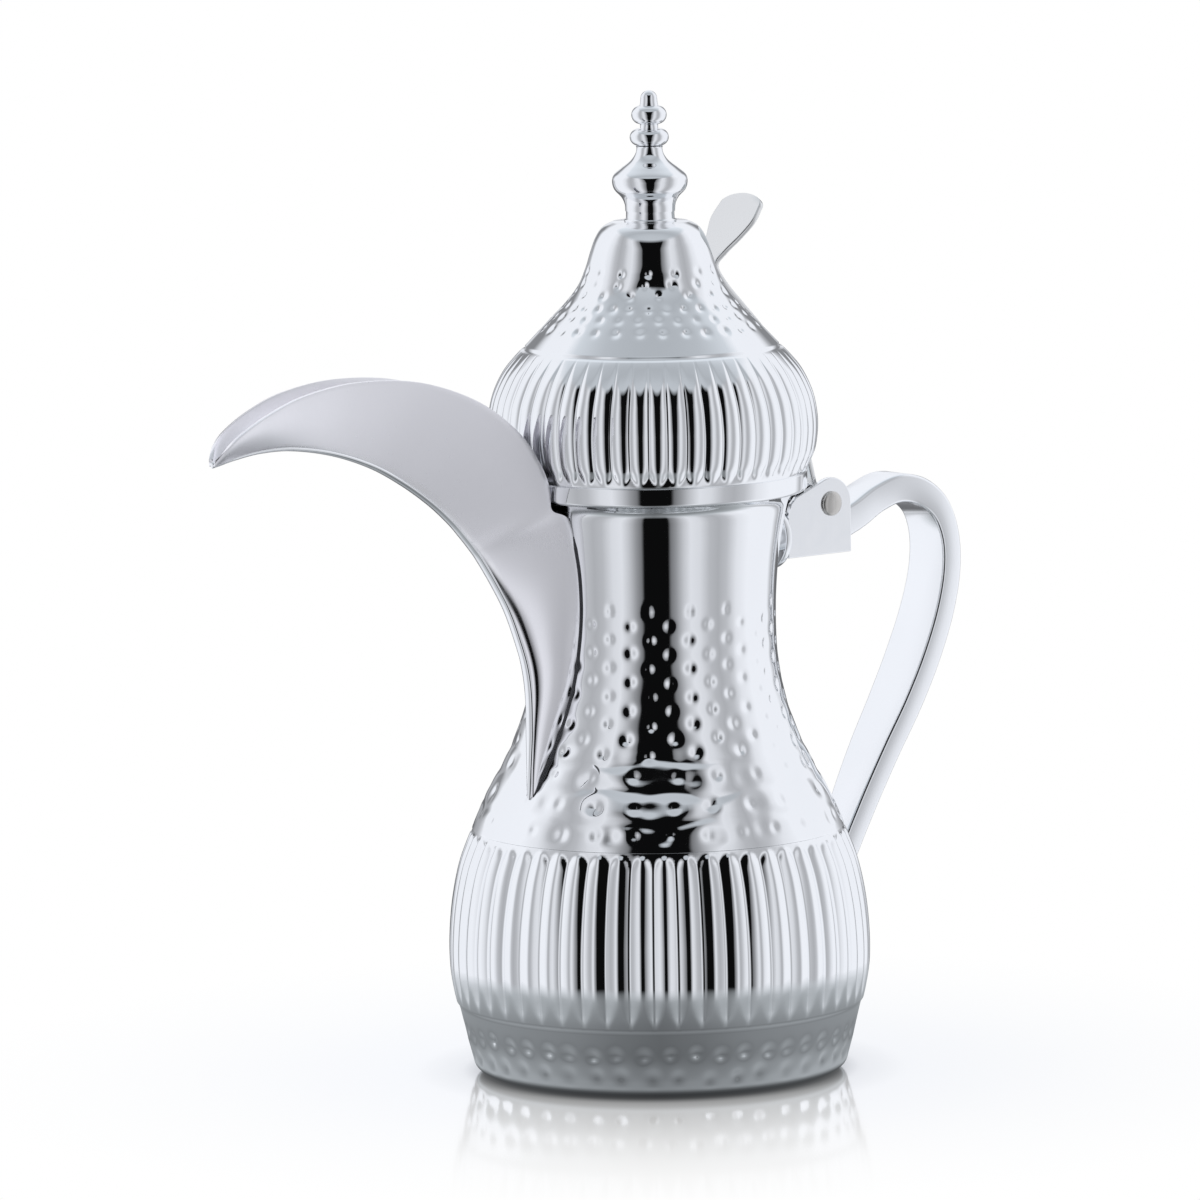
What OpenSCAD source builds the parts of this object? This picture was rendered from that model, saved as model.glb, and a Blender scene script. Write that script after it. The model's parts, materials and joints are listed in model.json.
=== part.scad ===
// Dallah: an Arabian coffee pot in polished stainless steel.
// +X points from the pot's axis towards the handle, the spout points along -X, +Z is up.
// The origin is on the pot's axis, in the plane that the base stands on. Millimetres.

/* [Body] */
// Thickness of the drawn sheet
wall = 1.2; // [1.0:0.1:1.6]
// Largest radius of the belly
belly_r = 64; // [63:0.5:66]
// Smallest radius of the neck
neck_r = 36.6; // [36:0.2:37.4]
// Height of the welded seam between belly and neck
seam_z = 75; // [74:0.5:76]
// Height of the mouth's lip
mouth_z = 177.2; // [176.8:0.1:177.2]
// Radius of the mouth's lip
mouth_r = 43.5; // [43:0.1:44]
// Thickness of the base plate
base_t = 1.4; // [1:0.1:2]

/* [Spout] */
// Thickness of the spout's sheet
spout_wall = 1.2; // [1:0.1:1.4]
// Width of the keel strip
keel_w = 3.5; // [3:0.1:4]
// Depth of the keel strip
keel_d = 1.8; // [1.6:0.1:2.2]
// Radius of a strainer hole
strainer_r = 1.6; // [1:0.1:1.8]

/* [Lid] */
// Radius of the lid's rim ring
ring_r = 46.6; // [46:0.1:46.8]
// Height of the rim ring
ring_h = 5.75; // [5:0.25:6]
// Largest radius of the lid's bulb
bulb_r = 50; // [49:0.2:50.4]
// Radius of the skirt that drops into the mouth
skirt_r = 38.5; // [37.5:0.1:38.5]
// Depth of that skirt below the rim ring
skirt_drop = 5.15; // [3:0.05:6]

/* [Hinge] */
// Distance of the hinge pin from the pot's axis
pin_x = 64.3; // [64:0.1:65]
// Height of the hinge pin
pin_z = 168.5; // [168:0.1:169]
// Radius of the pin's shank
pin_r = 2; // [1.5:0.1:2.2]
// Running clearance between the pin and the leaf's barrel
pin_clear = 0.05; // [0.02:0.01:0.1]
// Outer radius of the barrel
barrel_r = 3.6; // [3.2:0.1:3.8]
// Outer width across the bracket's two ears
ears_w = 16; // [15:0.2:17]
// Thickness of the bracket's sheet
ear_t = 1.8; // [1.4:0.1:2]

/* [Handle] */
// Thickness of the handle bar in its own plane
handle_t = 7.4; // [7:0.2:8]
// Width of the handle bar at its root
handle_w = 12.4; // [11:0.2:14]
// Width of the handle bar at the grip
grip_w = 18.4; // [16:0.2:20]
// Bevel along the handle's edges
handle_bevel = 0.9; // [0.5:0.1:1.5]
// Radius of the round flanges that carry the bracket and the handle's foot
flange_r = 10; // [9:0.1:10]

/* [Finial] */
// Radius of the stud that holds the finial
stud_r = 2.5; // [2:0.1:3]
// Radius of the finial's large bead
bead_r = 11.4; // [10.5:0.1:12]

/* [Hidden] */
$fn = 96;

eps = 0.01;
lid_z = mouth_z + 0.35;
bulb_z = lid_z + ring_h;
lid_top = 259.4;
ear_in = ears_w / 2 - ear_t;
boss_z = 159.4;
flange_x = 44.5;
flange_t = 2.5;
web_x = flange_x + flange_t;
bracket_end = 72.3;
bracket_z = 153;
foot_z = 52;
foot_x = 66.4;

// Outlines are lists of [radius, height].
belly_outline = [
    [51, 0], [55, 1.1], [57.3, 3.4], [59, 9], [61.2, 18.5], [62.8, 25],
    [belly_r - 0.1, 33], [belly_r - 0.1, 43], [62.9, 54], [60.5, 65], [56.6, seam_z]
];
neck_outline = [
    [56.6, seam_z], [52.9, 84], [47.9, 93.2], [43.4, 102.5], [40.1, 111.5], [38, 120.5],
    [neck_r + 0.3, 129], [neck_r, 138], [neck_r + 0.2, 147], [37.5, 156], [38.8, 165.5],
    [40.5, 172.3], [mouth_r, mouth_z]
];
bulb_outline = [
    [46.2, bulb_z], [47.6, 186.3], [49.2, 190.3], [bulb_r, 196.8], [49.6, 202.6],
    [48.2, 208.3], [45.3, 214.2], [41.6, 218.8], [38.4, 222]
];
cone_outline = [
    [38.4, 222], [31.4, 229.4], [26.2, 234.8], [22.4, 239.7], [19.9, 245.2],
    [18.2, 250.6], [16.7, 254.6], [14.6, 257.7], [11.6, lid_top]
];
finial_outline = [
    [7.5, 262.6], [7.9, 264.4], [9.6, 266.9], [bead_r, 270.5], [10, 273.3],
    [7.4, 275.6], [5.2, 277.8], [3.9, 281.6]
];

// Spout stations, from the keel's end on the body to the tip:
// [keel x, keel z, edge x, edge z, half-width at the edge].
spout_stations = [
    [-50.4, 88, -49.9, 88.6, 1.6],
    [-50.4, 97, -45.4, 97.6, 2.6],
    [-50.2, 108, -40.2, 109, 4],
    [-50.3, 119.5, -36.8, 121, 5.7],
    [-51.6, 128.5, -35.5, 132, 6.9],
    [-54.6, 137.5, -35, 143, 8],
    [-58.4, 146.4, -35.8, 155, 8.4],
    [-63.4, 154.8, -37.5, 165, 8.1],
    [-68.6, 162.4, -40.2, 173, 7.8],
    [-71.6, 166.1, -46.5, 176.2, 7.9],
    [-75, 169.9, -47.2, 182.4, 8],
    [-79.6, 174.6, -50.5, 190, 8],
    [-87.2, 180.9, -58.4, 200.2, 7.9],
    [-97.6, 187.8, -73.4, 210.8, 7.6],
    [-109.5, 194, -94.6, 218.2, 7],
    [-124, 198.9, -118, 220.2, 6.6],
    [-139, 201.6, -137.4, 217.9, 6.4],
    [-151, 201.8, -150.5, 213.5, 6],
    [-160.5, 200.6, -160.2, 208.4, 5.2],
    [-165.6, 199.5, -165.2, 204.4, 3.8],
    [-168.4, 198.9, -168.2, 201, 1.6]
];

// Handle stations: [x, z, thickness, width] along the bar's centre line.
handle_stations = [
    [70.3, 161, handle_t + 1.8, handle_w],
    [77.8, 163.8, handle_t + 1.6, handle_w],
    [86.2, 168, handle_t + 1.4, handle_w],
    [94.8, 170.3, handle_t + 1.4, handle_w + 0.6],
    [103.2, 168.6, handle_t + 1.2, handle_w + 1.6],
    [110, 163, handle_t + 0.6, handle_w + 2.8],
    [113.4, 154, handle_t, handle_w + 4],
    [113.4, 143, handle_t, grip_w - 1.2],
    [109.9, 130, handle_t, grip_w - 0.4],
    [103.7, 116, handle_t, grip_w],
    [96.4, 102.8, handle_t, grip_w - 0.4],
    [88.4, 90, handle_t, grip_w - 1.6],
    [81.2, 77.4, handle_t, grip_w - 3.2],
    [75.6, 66.6, handle_t, grip_w - 4.8],
    [70.8, 57.6, handle_t, grip_w - 5.8],
    [64.4, 50.6, handle_t, grip_w - 6]
];

// Thumb lever stations: [x, z, half-width] up the middle of the strap.
lever_t = 1.7;
lever_stations = [
    [61.4, 172.6, 4.6],
    [59.4, 180.5, 4.4],
    [57, 189.5, 4.2],
    [54.6, 198, 4],
    [51.4, 207, 4],
    [46.8, 216, 4.1],
    [40.8, 223.8, 4.1],
    [33.4, 231.4, 4],
    [26.8, 238.2, 3.9],
    [22.9, 244.4, 3.9],
    [25.8, 248.6, 5],
    [29.2, 252.8, 7.6],
    [32.8, 257.4, 9.7],
    [36.1, 261.6, 9.3],
    [38.4, 264.4, 4.4]
];

// A smooth curve through a list of points or number rows.
function row_at(p, i) = p[max(0, min(len(p) - 1, i))];
function through(a, b, c, d, t) = 0.5 * (2 * b + (c - a) * t
    + (2 * a - 5 * b + 4 * c - d) * t * t + (3 * b - a - 3 * c + d) * t * t * t);
function smooth(p, steps) = concat(
    [for (i = [0 : len(p) - 2]) for (k = [0 : steps - 1])
        through(row_at(p, i - 1), p[i], p[i + 1], row_at(p, i + 2), k / steps)],
    [p[len(p) - 1]]);
function back(p) = [for (i = [len(p) - 1 : -1 : 0]) p[i]];
function unit(v) = v / norm(v);
function inward(p, t) = [for (i = [0 : len(p) - 1])
    let (d = unit(row_at(p, i + 1) - row_at(p, i - 1))) p[i] - t * [d[1], -d[0]]];

belly_curve = smooth(belly_outline, 3);
neck_curve = smooth(neck_outline, 3);
lid_curve = concat(smooth(bulb_outline, 3), smooth(cone_outline, 3));

// A closed tube through a list of rings, all with the same number of points.
module skin(rings) {
    n = len(rings);
    m = len(rings[0]);
    sides = [for (i = [0 : n - 2]) for (j = [0 : m - 1])
        each [[i * m + j, i * m + (j + 1) % m, (i + 1) * m + j],
              [i * m + (j + 1) % m, (i + 1) * m + (j + 1) % m, (i + 1) * m + j]]];
    ends = [[for (j = [m - 1 : -1 : 0]) j], [for (j = [0 : m - 1]) (n - 1) * m + j]];
    polyhedron([for (r = rings) each r], concat(sides, ends), convexity = 8);
}

// A closed sheet between an outer and an inner grid of points.
module sheet(outer, inner) {
    skin([for (i = [0 : len(outer) - 1]) concat(outer[i], back(inner[i]))]);
}

module body_solid() {
    rotate_extrude()
        polygon(concat([[0, 0]], belly_curve, neck_curve, [[0, mouth_z]]));
}

module belly_shell() {
    inside = [for (p = belly_curve) if (p[1] > 3) [p[0] - wall, p[1]]];
    foot = [[51 - wall, base_t], [51 - wall, 0]];
    color("gainsboro")
        rotate_extrude() polygon(concat(belly_curve, back(inside), foot));
}

module neck_shell() {
    inside = [for (p = neck_curve) [p[0] - wall, p[1]]];
    color("gainsboro")
        difference() {
            rotate_extrude() polygon(concat(neck_curve, back(inside)));
            strainer_holes();
        }
}

module strainer_holes() {
    rows = 8;
    for (r = [0 : rows - 1], k = [-1 : 1])
        if (r % 2 == 0 || k < 1)
            translate([0, (k + (r % 2) / 2) * 4.4, 126 + r * 4.4])
                rotate([0, -90, 0]) cylinder(r = strainer_r, h = 60, $fn = 24);
}

module base_plate() {
    color("silver") cylinder(r = 51 - wall, h = base_t);
}

spout_rows = smooth(spout_stations, 2);
edge_steps = 8;
function spout_point(s, u) = [
    s[0] + (s[2] - s[0]) * u,
    1.1 + (s[4] - 1.1) * (0.5 * u + 0.5 * sin(90 * u)),
    s[1] + (s[3] - s[1]) * u
];
function spout_tangent(i, u) =
    spout_point(row_at(spout_rows, i + 1), u) - spout_point(row_at(spout_rows, i - 1), u);
function spout_normal(i, u) =
    let (du = 0.08,
         across = spout_point(spout_rows[i], min(1, u + du)) - spout_point(spout_rows[i], max(0, u - du)))
    unit(cross(across, spout_tangent(i, u)));
function spout_row(i, depth) = [for (j = [0 : edge_steps])
    let (u = j / edge_steps, p = spout_point(spout_rows[i], u) - depth * spout_normal(i, u))
    [p[0], max(p[1], 0.05), p[2]]];

module spout_half() {
    last = len(spout_rows) - 1;
    sheet([for (i = [0 : last]) spout_row(i, 0)], [for (i = [0 : last]) spout_row(i, spout_wall)]);
}

module spout_left() {
    color("lightgray") spout_half();
}

module spout_right() {
    color("lightgray") mirror([0, 1, 0]) spout_half();
}

module spout_keel() {
    last = len(spout_rows) - 1;
    rings = [for (i = [0 : last])
        let (s = spout_rows[i],
             step = row_at(spout_rows, i + 1) - row_at(spout_rows, i - 1),
             d = unit([step[0], 0, step[1]]),
             in = [d[2], 0, -d[0]],
             k = min(1, 0.35 + i / 6, 0.25 + (last - i) / 5),
             c = [s[0], 0, s[1]] + in * (keel_d / 2 - 0.5))
        [for (a = [0 : 30 : 330]) c + in * (keel_d / 2 * cos(a)) + [0, keel_w / 2 * k * sin(a), 0]]];
    color("silver") skin(rings);
}

module boss_stem() {
    color("silver")
        difference() {
            translate([30, 0, boss_z]) rotate([0, 90, 0]) cylinder(r = 5.5, h = flange_x - 30);
            body_solid();
        }
}

module boss_flange() {
    r = flange_r;
    color("gainsboro")
        translate([flange_x, 0, boss_z]) rotate([0, 90, 0])
            rotate_extrude()
                polygon([[0, 0], [r - 0.6, 0], [r, 0.6], [r, flange_t - 0.9], [r - 0.9, flange_t],
                         [0, flange_t]]);
}

module ear_outline() {
    union() {
        translate([pin_x, pin_z]) circle(r = bracket_end - pin_x);
        polygon([[web_x, bracket_z], [bracket_end, bracket_z], [bracket_end, pin_z],
                 [pin_x, pin_z + 8], [60.6, 175.5], [50.4, 171.6], [48.4, 169.6],
                 [web_x, 166]]);
    }
}

module ear(y) {
    translate([0, y + ear_t, 0]) rotate([90, 0, 0])
        linear_extrude(ear_t)
            difference() {
                ear_outline();
                translate([pin_x, pin_z]) circle(r = pin_r);
            }
}

module hinge_bracket() {
    color("whitesmoke") {
        ear(ear_in);
        ear(-ears_w / 2);
        translate([web_x, -ear_in, bracket_z]) cube([bracket_end - web_x, 2 * ear_in, ear_t]);
        translate([web_x, -ear_in, bracket_z]) cube([ear_t, 2 * ear_in, 14]);
        translate([bracket_end - ear_t, -ear_in, bracket_z]) cube([ear_t, 2 * ear_in, 12.6]);
    }
}

// A rivet: a shank with a domed head outside each ear.
module hinge_pin() {
    h = ears_w / 2;
    head_r = 3.8;
    head_h = 1.5;
    dome = [for (a = [0 : 15 : 90]) [head_r * cos(a), h + 0.4 + (head_h - 0.4) * sin(a)]];
    shank = concat([[pin_r, 0], [pin_r, h], [head_r, h]], dome);
    foot = [for (p = back(shank)) [p[0], -p[1]]];
    color("tan")
        translate([pin_x, 0, pin_z]) rotate([90, 0, 0])
            rotate_extrude() polygon(concat(foot, shank));
}

function bar_ring(p, d, t, w) =
    let (up = [-d[2], 0, d[0]], a = t / 2, b = w / 2, c = handle_bevel)
    [for (q = [[a, b - c], [a - c, b], [c - a, b], [-a, b - c],
               [-a, c - b], [c - a, -b], [a - c, -b], [a, c - b]])
        p + q[0] * up + [0, q[1], 0]];

module handle() {
    rows = smooth(handle_stations, 3);
    rings = [for (i = [0 : len(rows) - 1])
        let (s = rows[i],
             step = row_at(rows, i + 1) - row_at(rows, i - 1),
             d = unit([step[0], 0, step[1]]))
        bar_ring([s[0], 0, s[1]], d, s[2], s[3])];
    color("whitesmoke")
        difference() {
            skin(rings);
            translate([bracket_end - 10, -20, 150]) cube([10, 40, 30]);
            translate([foot_x - 20, -20, 30]) cube([20, 40, 40]);
        }
}

module foot_flange() {
    color("gainsboro")
        difference() {
            translate([55, 0, foot_z]) rotate([0, 90, 0])
                cylinder(r = flange_r, h = foot_x - 55);
            body_solid();
        }
}

module lid_ring() {
    r = ring_r;
    in = skirt_r + 1.4;
    t = 1.4;
    color("silver")
        translate([0, 0, lid_z])
            rotate_extrude()
                polygon([[in, 0], [r - 1.2, 0], [r - 0.35, 0.35], [r, 1.2], [r, ring_h],
                         [r - t, ring_h], [r - t, t + 0.4], [r - t - 0.4, t], [in, t]]);
}

module lid_shell() {
    inside = inward(lid_curve, wall);
    n = len(inside);
    lower = [for (i = [1 : n - 2]) inside[i]];
    color("gainsboro")
        rotate_extrude()
            polygon(concat([[46.2 - wall, bulb_z]], lid_curve, [[stud_r, lid_top],
                [stud_r, lid_top - wall], [10.8, lid_top - wall]], back(lower)));
}

module lid_pan() {
    r = skirt_r;
    z = -skirt_drop;
    color("silver")
        translate([0, 0, lid_z])
            rotate_extrude()
                polygon([[0, z], [r - 1, z], [r, z + 1], [r, 0], [r + 1.4, 0], [r + 1.4, 1.4],
                         [r - wall, 1.4], [r - wall, z + wall + 0.4], [r - wall - 0.4, z + wall],
                         [0, z + wall]]);
}

// The leaf: a barrel on the pin, a sloping strip and a tab welded to the rim ring.
module hinge_leaf() {
    leaf_w = 11;
    color("silver")
        difference() {
            union() {
                translate([pin_x, leaf_w / 2, pin_z]) rotate([90, 0, 0])
                    cylinder(r = barrel_r, h = leaf_w);
                translate([0, leaf_w / 2, 0]) rotate([90, 0, 0])
                    linear_extrude(leaf_w)
                        polygon([[pin_x, pin_z + 1], [pin_x, pin_z + barrel_r],
                                 [60.4, 173.6], [51, 179], [48.3, 180.8], [48.3, 183],
                                 [45, 183], [45, 178.2], [48.6, 178.2], [60.6, 170.6]]);
            }
            translate([pin_x, 20, pin_z]) rotate([90, 0, 0])
                cylinder(r = pin_r + pin_clear, h = 40);
            cylinder(r = ring_r, h = 200);
        }
}

module thumb_lever() {
    rows = smooth(lever_stations, 3);
    rings = [for (i = [0 : len(rows) - 1])
        let (s = rows[i],
             step = row_at(rows, i + 1) - row_at(rows, i - 1),
             d = unit([step[0], 0, step[1]]),
             out = [d[2], 0, -d[0]] * lever_t / 2,
             p = [s[0], 0, s[1]],
             y = [0, s[2], 0])
        [p + out + y * 0.94, p + out * 0.4 + y, p - out * 0.4 + y, p - out + y * 0.94,
         p - out - y * 0.94, p - out * 0.4 - y, p + out * 0.4 - y, p + out - y * 0.94]];
    color("whitesmoke") skin(rings);
}

module disc_bead(z, r, h) {
    translate([0, 0, z]) rotate_extrude()
        polygon(concat([[0, 0]], [for (a = [-80 : 20 : 80]) [r - h / 2 + h / 2 * cos(a),
            h / 2 + h / 2 * sin(a)]], [[0, h]]));
}

module finial() {
    body = smooth(finial_outline, 3);
    color("gainsboro")
        difference() {
            union() {
                rotate_extrude()
                    polygon(concat([[0, lid_top], [8, lid_top], [8, 260], [7.3, 260.4], [7.3, 262.4]],
                        body, [[4.3, 282.3], [0, 282.3]]));
                translate([0, 0, 282]) cylinder(r = 2.7, h = 14);
                disc_bead(282.3, 5.9, 5.1);
                disc_bead(288.8, 5.35, 5.6);
                rotate_extrude()
                    polygon(concat([[0, 294]], [for (a = [0 : 15 : 90]) [2.5 * cos(a), 296.6 + 2.4 * sin(a)]]));
            }
            translate([0, 0, lid_top - eps]) cylinder(r = stud_r, h = 12);
        }
}

module finial_stud() {
    color("silver") translate([0, 0, 251.6]) cylinder(r = stud_r, h = lid_top + 11 - 251.6);
}

washer_t = 1;
module finial_washer() {
    color("silver")
        translate([0, 0, lid_top - wall - washer_t])
            difference() {
                cylinder(r = 6, h = washer_t);
                translate([0, 0, -1]) cylinder(r = stud_r, h = washer_t + 2);
            }
}

module finial_nut() {
    nut_h = 4;
    color("silver")
        translate([0, 0, lid_top - wall - washer_t - nut_h])
            difference() {
                cylinder(r = 4.6, h = nut_h, $fn = 6);
                translate([0, 0, -1]) cylinder(r = stud_r, h = nut_h + 2);
            }
}

belly_shell();
neck_shell();
base_plate();
spout_left();
spout_right();
spout_keel();
boss_stem();
boss_flange();
hinge_bracket();
hinge_pin();
handle();
foot_flange();
lid_ring();
lid_shell();
lid_pan();
hinge_leaf();
thumb_lever();
finial();
finial_stud();
finial_washer();
finial_nut();
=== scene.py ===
"""A polished steel dallah: sheet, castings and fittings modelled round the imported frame."""

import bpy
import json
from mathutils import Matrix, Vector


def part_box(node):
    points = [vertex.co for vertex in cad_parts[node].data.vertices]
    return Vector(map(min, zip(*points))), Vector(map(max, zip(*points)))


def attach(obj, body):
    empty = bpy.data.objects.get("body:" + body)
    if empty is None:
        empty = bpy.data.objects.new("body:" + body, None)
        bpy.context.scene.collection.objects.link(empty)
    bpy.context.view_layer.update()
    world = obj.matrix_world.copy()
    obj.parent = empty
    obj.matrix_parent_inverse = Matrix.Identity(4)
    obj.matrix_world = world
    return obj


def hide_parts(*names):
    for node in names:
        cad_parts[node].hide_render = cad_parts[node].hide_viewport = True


bl_info = {
    "name": "Dallah coffee pot",
    "version": (1, 0, 0),
    "blender": (4, 5, 0),
    "location": "3D View > Sidebar > Dallah",
    "description": "Builds a hammered and fluted steel coffee pot piece by piece",
    "category": "Object",
}

import bisect
import json
import math
import random

import bmesh
import bpy
from bpy.props import FloatProperty, FloatVectorProperty, IntProperty, PointerProperty
from mathutils import Matrix, Vector

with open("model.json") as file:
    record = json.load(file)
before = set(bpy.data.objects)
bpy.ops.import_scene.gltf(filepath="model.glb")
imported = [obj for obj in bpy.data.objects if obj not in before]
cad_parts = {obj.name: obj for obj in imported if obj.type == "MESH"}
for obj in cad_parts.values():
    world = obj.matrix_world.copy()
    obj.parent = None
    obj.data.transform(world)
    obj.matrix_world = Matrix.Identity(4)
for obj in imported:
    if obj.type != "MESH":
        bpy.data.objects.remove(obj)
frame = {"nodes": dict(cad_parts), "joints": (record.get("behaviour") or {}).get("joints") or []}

MM = 0.001
TAU = math.tau
SHEET = 1.2  # thickness of the drawn sheet, in millimetres like every outline below


def lowest(node):
    """A node's lowest corner in millimetres."""
    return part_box(node)[0] / MM


def highest(node):
    """A node's highest corner in millimetres."""
    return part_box(node)[1] / MM


BELLY_R = highest("belly_shell").x
SEAM_Z = highest("belly_shell").z
MOUTH_R = 43.5  # the neck's box doesn't give its lip's radius, because its foot is wider
MOUTH_Z = highest("neck_shell").z
BULB_R = highest("lid_shell").x
BULB_Z = lowest("lid_shell").z
LID_TOP = highest("lid_shell").z
RING_R = highest("lid_ring").x
RING_Z = lowest("lid_ring").z
PAN_R = 38.5
FLANGE_X = lowest("boss_flange").x
FLANGE_T = highest("boss_flange").x - FLANGE_X
FLANGE_R = highest("boss_flange").y
FLANGE_Z = (highest("boss_flange").z + lowest("boss_flange").z) / 2
BRACKET_END = highest("hinge_bracket").x
FOOT_X = highest("foot_flange").x
PIN = Vector(frame["joints"][0]["pos_m"]) / MM
PIN_HALF = highest("hinge_pin").y
BARREL_R = PIN.z - lowest("hinge_leaf").z
SEAM_R = 0.55  # radius of the soldered line beside the spout

# Outlines are (radius, height) from the bottom up.
BELLY = [
    (51, 0), (55, 1.1), (57.3, 3.4), (59, 9), (61.2, 18.5), (62.8, 25), (BELLY_R, 33),
    (BELLY_R, 43), (62.9, 54), (60.5, 65), (56.6, SEAM_Z),
]
NECK = [
    (56.6, SEAM_Z), (52.9, 84), (47.9, 93.2), (43.4, 102.5), (40.1, 111.5), (38, 120.5),
    (36.9, 129), (36.6, 138), (36.8, 147), (37.5, 156), (38.7, 164.5), (39.8, 170.4),
    (41, 174.8), (MOUTH_R, MOUTH_Z),
]
BULB = [
    (46.2, BULB_Z), (47.6, 186.3), (49.2, 190.3), (BULB_R, 196.8), (49.6, 202.6),
    (48.2, 208.3), (45.3, 214.2), (41.6, 218.8), (38.4, 222),
]
CONE = [
    (38.4, 222), (31.4, 229.4), (26.2, 234.8), (22.4, 239.7), (19.9, 245.2), (18.2, 250.6),
    (16.7, 254.6), (14.6, 257.7), (11.6, LID_TOP),
]
FINIAL_BODY = [
    (7.5, 262.6), (7.7, 264.7), (8.7, 266.8), (10.7, 269), (11.4, 271.3), (10.9, 273.5),
    (8.5, 275.6), (5.8, 277.7), (4.3, 279.8), (3.9, 281.6), (4.2, 282.2),
]

# Spout stations: keel x, keel z, edge x, edge z, half-width at the edge.
SPOUT = [
    (-50.4, 88, -49.9, 88.6, 1.6), (-50.4, 97, -45.4, 97.6, 2.6), (-50.2, 108, -40.2, 109, 4),
    (-50.3, 119.5, -36.8, 121, 5.7), (-51.6, 128.5, -35.5, 132, 6.9),
    (-54.6, 137.5, -35, 143, 8), (-58.4, 146.4, -35.8, 155, 8.4),
    (-63.4, 154.8, -37.5, 165, 8.1), (-68.6, 162.4, -40.2, 173, 7.8),
    (-71.6, 166.1, -46.5, 176.2, 7.9), (-75, 169.9, -47.2, 182.4, 8),
    (-79.6, 174.6, -50.5, 190, 8), (-87.2, 180.9, -58.4, 200.2, 7.9),
    (-97.6, 187.8, -73.4, 210.8, 7.6), (-109.5, 194, -94.6, 218.2, 7),
    (-124, 198.9, -118, 220.2, 6.6), (-139, 201.6, -137.4, 217.9, 6.4),
    (-151, 201.8, -150.5, 213.5, 6), (-160.5, 200.6, -160.2, 208.4, 5.2),
    (-165.6, 199.5, -165.2, 204.4, 3.8), (-168.4, 198.9, -168.2, 201, 1.6),
]
# Handle stations: x, z, thickness, width along the bar's centre line.
HANDLE = [
    (70.3, 161, 9.2, 12.4), (77.8, 163.8, 9, 12.4), (86.2, 168, 8.8, 12.4),
    (94.8, 170.3, 8.8, 13), (103.2, 168.6, 8.6, 14), (110, 163, 8, 15.2),
    (113.4, 154, 7.4, 16.4), (113.4, 143, 7.4, 17.2), (109.9, 130, 7.4, 18),
    (103.7, 116, 7.4, 18.4), (96.4, 102.8, 7.4, 18), (88.4, 90, 7.4, 16.8),
    (81.2, 77.4, 7.4, 15.2), (75.6, 66.6, 7.4, 13.6), (70.8, 57.6, 7.4, 12.6),
    (64.4, 50.6, 7.4, 12.4),
]
# Lever stations: x, z, half-width up the middle of the strap. The thumb plate's tip is an arc.
LEVER = [
    (61.4, 172.6, 4.6), (59.4, 180.5, 4.4), (57, 189.5, 4.2), (54.6, 198, 4),
    (51.4, 207, 4), (46.8, 216, 4.1), (40.8, 223.8, 4.1), (33.4, 231.4, 4),
    (26.8, 238.2, 3.9), (22.9, 244.4, 3.9), (25.8, 248.6, 5), (29.2, 252.8, 7.6),
    (32.8, 257.4, 9.7), (36.1, 261.6, 9.3),
]
LEVER_T = 1.7


# ---------------------------------------------------------------- curves and outlines

def between(a, b, c, d, t):
    """The number at share t from b to c on a smooth curve through a, b, c and d."""
    return 0.5 * (2 * b + (c - a) * t + (2 * a - 5 * b + 4 * c - d) * t * t
                  + (3 * b - a - 3 * c + d) * t ** 3)


def along(rows, share):
    """The row at a share of the way through a list of rows, on a smooth curve."""
    place = share * (len(rows) - 1)
    i = min(int(place), len(rows) - 2)
    near = [rows[max(0, min(len(rows) - 1, i + k))] for k in (-1, 0, 1, 2)]
    return tuple(between(*column, place - i) for column in zip(*near))


def smoothed(rows, steps):
    """A list of rows with steps rows for each one given, on a smooth curve."""
    count = (len(rows) - 1) * steps
    return [along(rows, k / count) for k in range(count + 1)]


def ease(value, low, high):
    """0 below low, 1 above high and a smooth step between them."""
    t = max(0.0, min(1.0, (value - low) / (high - low)))
    return t * t * (3 - 2 * t)


class Outline:
    """A smooth (radius, height) outline whose height only rises."""

    def __init__(self, points):
        self.fine = smoothed(points, 40)
        self.heights = [z for _, z in self.fine]

    def at(self, z):
        """The radius at a height, and the outward direction there as (radial, upward)."""
        i = max(1, min(len(self.fine) - 1, bisect.bisect(self.heights, z)))
        (r0, z0), (r1, z1) = self.fine[i - 1], self.fine[i]
        t = (z - z0) / (z1 - z0)
        length = math.hypot(r1 - r0, z1 - z0)
        return r0 + (r1 - r0) * t, (z1 - z0) / length, -(r1 - r0) / length

    def spaced(self, pitch):
        """Points along the outline that stand about pitch(height) apart."""
        kept = [self.fine[0]]
        for point in self.fine[1:-1]:
            if math.dist(point, kept[-1]) >= pitch(point[1]):
                kept.append(point)
        return kept + [self.fine[-1]]

    def inner(self, low, high, step):
        """The inner side of the sheet from high down to low."""
        heights = [high - (high - low) * k / step for k in range(step + 1)]
        return [(self.at(z)[0] - SHEET, z) for z in heights]


# ---------------------------------------------------------------- relief in the sheet

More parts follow.
